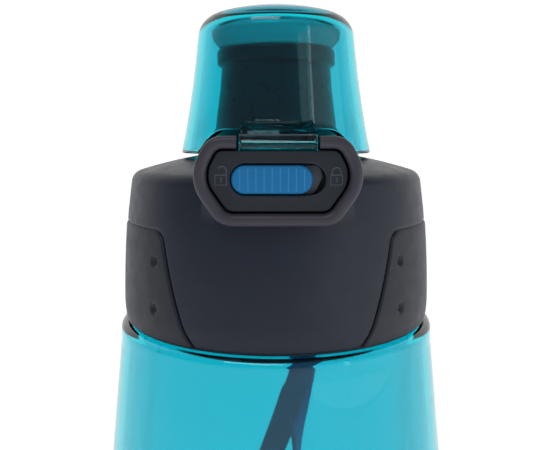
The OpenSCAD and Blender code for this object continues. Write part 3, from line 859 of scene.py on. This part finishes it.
def make_cap_shell():
    """The cap's wall: columns from the lower edge, up the outside, over the top and down the inside."""
    knee = CAP + 25
    ceiling = high("cap_seal").z
    crown = high("flip_cap").z
    corner = arc((12.9, CAP + 26.1), 5, 6, 75, 14)
    edge_r, edge_z = corner[-1]
    over = [(cap_side(knee), knee)] + corner
    over += [(edge_r * t, crown - (crown - edge_z) * t * t) for t in (0.9, 0.75, 0.6, 0.45, 0.3, 0.15, 0)]
    under = [(0, ceiling)] + arc((13.7, ceiling - 2.6), 2.6, 90, 4, 10)
    under.append((cap_side(knee - 3) - CAP_WALL, knee - 3))
    over, under = dense(over, 1.5), dense(under, 1.5)
    lip = 0.45
    rows = 24
    points, columns = [(0, 0, over[-1][1]), (0, 0, under[0][1])], []
    for k in range(CAP_COLUMNS):
        a = 2 * math.pi * k / CAP_COLUMNS
        x, y = math.sin(a), -math.cos(a)
        edge = CAP + (cut_height(CAP_RADIUS * x) if y < 0 else 0)
        outer = [(cap_side(z), z) for z in (edge + lip + (knee - edge - lip) * i / rows for i in range(rows))]
        inner = [(cap_side(z) - CAP_WALL, z) for z in
                 (edge + lip + (knee - 3 - edge - lip) * i / rows for i in range(rows))]
        r = cap_side(edge)
        rim = arc((r - CAP_WALL + lip, edge + lip), lip, 180, 270, 5)
        rim += arc((r - lip, edge + lip), lip, 270, 360, 5)
        line = rim[:-1] + outer + over[:-1] + under[1:] + inner[:0:-1]
        start = len(points)
        points += [(q * x, q * y, z) for q, z in line]
        columns.append((start, len(line), len(rim) - 1 + rows + len(over) - 2))
    faces = []
    for k, (start, count, last_over) in enumerate(columns):
        after = columns[(k + 1) % CAP_COLUMNS][0]
        for i in range(count):
            j = (i + 1) % count
            if i == last_over:
                faces.append([start + i, after + i, 0])
                faces.append([after + j, start + j, 1])
            else:
                faces.append([start + i, after + i, after + j, start + j])
    return mesh_object("clear_cap", points, faces)


def make_cap():
    """The flip cap: its wall, the tongue over the latch with its catch, and the hinge arm."""
    z = LATCH
    tongue = filleted([(-19.8, z + 11, 0.6), (-33, z + 8.9, 6), (-36.6, z + 8.1, 1.6), (-37.4, z + 6.6, 0.9),
                       (-37.4, z + 5.5, 0.6), (-36, z + 5.5, 0.6), (-35.8, z + 6.6, 0.6), (-33, z + 6.9, 4),
                       (-19.8, z + 9.2, 0.6)], closed=True)
    catch = filleted([(-33, z + 7.6, 0.1), (-31.8, z + 7.6, 0.1), (-31.8, z + 4.3, 0.2),
                      (-30.8, z + 4.3, 0.1), (-30.8, z + 3.8, 0.2), (-32.3, z + 3.1, 0.2),
                      (-33, z + 3.1, 0.2)], closed=True)
    arm = filleted([(17.6, HINGE.z + 2.7, 0.4), (HINGE.y + 2.7, HINGE.z + 2.7, 2.69),
                    (HINGE.y + 2.7, HINGE.z - 2.7, 2.69), (17.6, HINGE.z - 2.7, 0.4)], closed=True)
    shell = make_cap_shell()
    parts = [slab("tongue", tongue, -TONGUE_HALF, TONGUE_HALF, 0.5, "x", steps=6),
             slab("catch", catch, -CATCH_HALF, CATCH_HALF, 0.08, "x")]
    for side in (-1, 1):
        ends = sorted(side * end for end in ARM_ENDS)
        parts.append(slab("arm", arm, *ends, 0.3, "x"))
    combine(shell, parts)
    combine(shell, [bore_x(HINGE.y, HINGE.z, 1.3)], "DIFFERENCE")
    shade(shell, 32)
    return shell


# ---- springs ----


def coil(centre, axis, radius, start, end, turns, first=0.0):
    """Points on a coil about the X or the Y axis, from start to end along it."""
    steps = round(turns * 24)
    points = []
    for i in range(steps + 1):
        a = math.radians(first) + 2 * math.pi * turns * i / steps
        d = start + (end - start) * i / steps
        u, v = radius * math.cos(a), radius * math.sin(a)
        points.append((d, centre[1] + u, centre[2] + v) if axis == "x" else (centre[0] + u, d, centre[2] + v))
    return points


HINGE_WIRE = 0.3    # radii of the two kinds of wire
RETURN_WIRE = 0.22


def make_springs(steel):
    """The cap's torsion spring round its pin, and the two that push the button out."""
    half, r = 2.4, 1.9
    lead = [(-half, HINGE.y - 5.8, HINGE.z - r), (-half, HINGE.y - 1, HINGE.z - r)]
    tail = [(half, HINGE.y - r, HINGE.z - 1), (half, HINGE.y - r, HINGE.z - 5.4)]
    turns = coil(HINGE, "x", r, -half, half, 4.75, 270)
    add(wires("hinge_spring", [lead + turns + tail], HINGE_WIRE), "lid", steel, "steel", "cap_spring")
    back = high("button_springs").y - RETURN_WIRE
    front = low("button_springs").y + RETURN_WIRE
    lines = [coil((side * 8, 0, LATCH + 1.3), "y", 1.1, front, back, 6) for side in (-1, 1)]
    add(wires("return_springs", lines, RETURN_WIRE), "button", steel, "steel", "button_springs")


# ---- room ----

FRONT_GLOW = 0.26  # strength of the surroundings on the camera's side
BACK_GLOW = 1.08   # and beyond the bottle
FLOOR_GLOW = 0.47
FLOOR_HALF = 9000


def make_light(name, place, aim, size, radiance):
    """A soft box whose face has a given radiance."""
    data = bpy.data.lights.new(name, "AREA")
    data.shape = "RECTANGLE"
    data.size, data.size_y = size[0] * MM, size[1] * MM
    data.energy = radiance * math.pi * data.size * data.size_y
    light = bpy.data.objects.new(name, data)
    bpy.context.scene.collection.objects.link(light)
    light.location = Vector(place) * MM
    light.rotation_euler = (Vector(aim) - Vector(place)).to_track_quat("-Z", "Y").to_euler()


def make_room():
    """White surroundings, dimmer on the camera's side, a pale floor and three soft boxes."""
    world = bpy.data.worlds.new("room")
    bpy.context.scene.world = world
    world.use_nodes = True
    tree = world.node_tree
    background = tree.nodes["Background"]
    place = tree.nodes.new("ShaderNodeTexCoord")
    split = tree.nodes.new("ShaderNodeSeparateXYZ")
    ramp = tree.nodes.new("ShaderNodeMapRange")
    ramp.interpolation_type = "SMOOTHSTEP"
    for socket, value in zip(list(ramp.inputs)[1:5], (-0.2, 0.6, FRONT_GLOW, BACK_GLOW)):
        socket.default_value = value
    tree.links.new(place.outputs["Generated"], split.inputs[0])
    tree.links.new(split.outputs["Y"], ramp.inputs["Value"])
    tree.links.new(ramp.outputs[0], background.inputs["Strength"])
    background.inputs["Color"].default_value = (1, 1, 1, 1)

    corners = [(x * FLOOR_HALF, y * FLOOR_HALF, 0) for x, y in ((-1, -1), (1, -1), (1, 1), (-1, 1))]
    floor = mesh_object("floor", corners, [[0, 1, 2, 3]])
    f = Finish("pale_floor", Roughness=0.6)
    f.set("Base Color", f.colours(f.noise(300), (0.3, (0.86, 0.87, 0.88)), (0.7, (0.88, 0.88, 0.88))))
    f.shader.inputs["Emission Color"].default_value = (1, 1, 1, 1)
    f.shader.inputs["Emission Strength"].default_value = FLOOR_GLOW
    finish_piece(floor, f.material)

    middle = (0, 0, LATCH)
    make_light("top_front", (-220, -620, LATCH + 760), middle, (620, 260), 5)
    make_light("right_window", (648, -397, LATCH + 60), middle, (1080, 560), 0.65)
    make_light("right_strip", (472, -432, LATCH + 80), middle, (30, 440), 2.6)
    bpy.context.scene.view_settings.view_transform = "Standard"


# ---- the whole object ----

make_camera()
strap = make_strap()
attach(strap, "strap")
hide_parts("carry_strap")
strap_path()
finish_piece(strap, webbing())

clear = clear_plastic()
charcoal = moulded_plastic("charcoal", (0.004, 0.008, 0.020), (0.005, 0.010, 0.023), 0.42)
grip = moulded_plastic("grip", (0.007, 0.010, 0.019), (0.009, 0.012, 0.022), 0.48)
spout_grey = moulded_plastic("spout_grey", (0.014, 0.024, 0.040), (0.018, 0.029, 0.046), 0.3)
# painted light: the padlock strokes and the slot floor are the plate's own charcoal, painted lighter here, as
# a painted highlight on the raised strokes and as painted light on the floor that the slot's walls shade
painted_light_charcoal = moulded_plastic("painted_light_charcoal", (0.055, 0.065, 0.082), (0.062, 0.072, 0.090), 0.4)
warm = moulded_plastic("warm_grey", (0.031, 0.030, 0.044), (0.038, 0.036, 0.052), 0.4)
plate = moulded_plastic("plate", (0.008, 0.012, 0.020), (0.011, 0.016, 0.025), 0.38)
blue = moulded_plastic("lock_blue", (0.0, 0.125, 0.32), (0.0, 0.14, 0.35), 0.46, grain=0.006)
# painted highlight: the ribs are the pad's own blue, painted lighter and glossier as if their rounded tops
# caught the light
painted_highlight_blue = moulded_plastic("painted_highlight_blue", (0.01, 0.20, 0.44), (0.01, 0.22, 0.47), 0.34, grain=0.004)
silicone = seal_rubber("silicone", (0.62, 0.68, 0.70), 0.15)
plug = seal_rubber("seal_teal", (0.3, 0.97, 1.0), 0.8)
steel = bright_steel()

add(make_bottle(), "bottle", clear, "clear_teal", "bottle_body")
add(make_lid(), "lid", charcoal, "charcoal", "lid_shell")
for side, sign in (("left", -1), ("right", 1)):
    add(make_grip(sign), "lid", grip, "charcoal", "side_grip_" + side)
add(make_spout(), "lid", spout_grey, "charcoal", "spout")
add(make_bezel(), "lid", warm, "warm_grey", "latch_bezel")
add(make_button(), "button", plate, "charcoal", "release_button")
# the padlock strokes are the plate's charcoal with a painted highlight: this lighter grey stands in for light
# on their raised lines
for name, x, shut in (("padlock_open", -10.4, False), ("padlock_shut", 10.6, True)):
    add(wires(name, padlock_lines(x, shut), 0.13), "button", painted_light_charcoal, "charcoal")
lock_pad, lock_ribs, lock_floor = make_slider()
add(lock_pad, "lock", blue, "lock_blue", "lock_slider")
# the ribs carry a painted highlight: a lighter copy of the pad's blue
add(lock_ribs, "lock", painted_highlight_blue, "lock_blue")
# the slot floor is charcoal in fact; this lighter grey is painted light where the slot's walls cast shade
add(lock_floor, "lock", painted_light_charcoal, "charcoal")
add(make_cap(), "cap", clear, "clear_teal", "flip_cap")
add(make_cap_seal(), "cap", plug, "seal_teal", "cap_seal")
make_springs(steel)
for node, material in (("lid_gasket", silicone), ("spout_gasket", silicone), ("thread_insert", charcoal),
                       ("latch_slide", charcoal), ("hinge_pin", steel), ("strap_bar", steel)):
    finish_piece(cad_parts[node], material)
make_room()
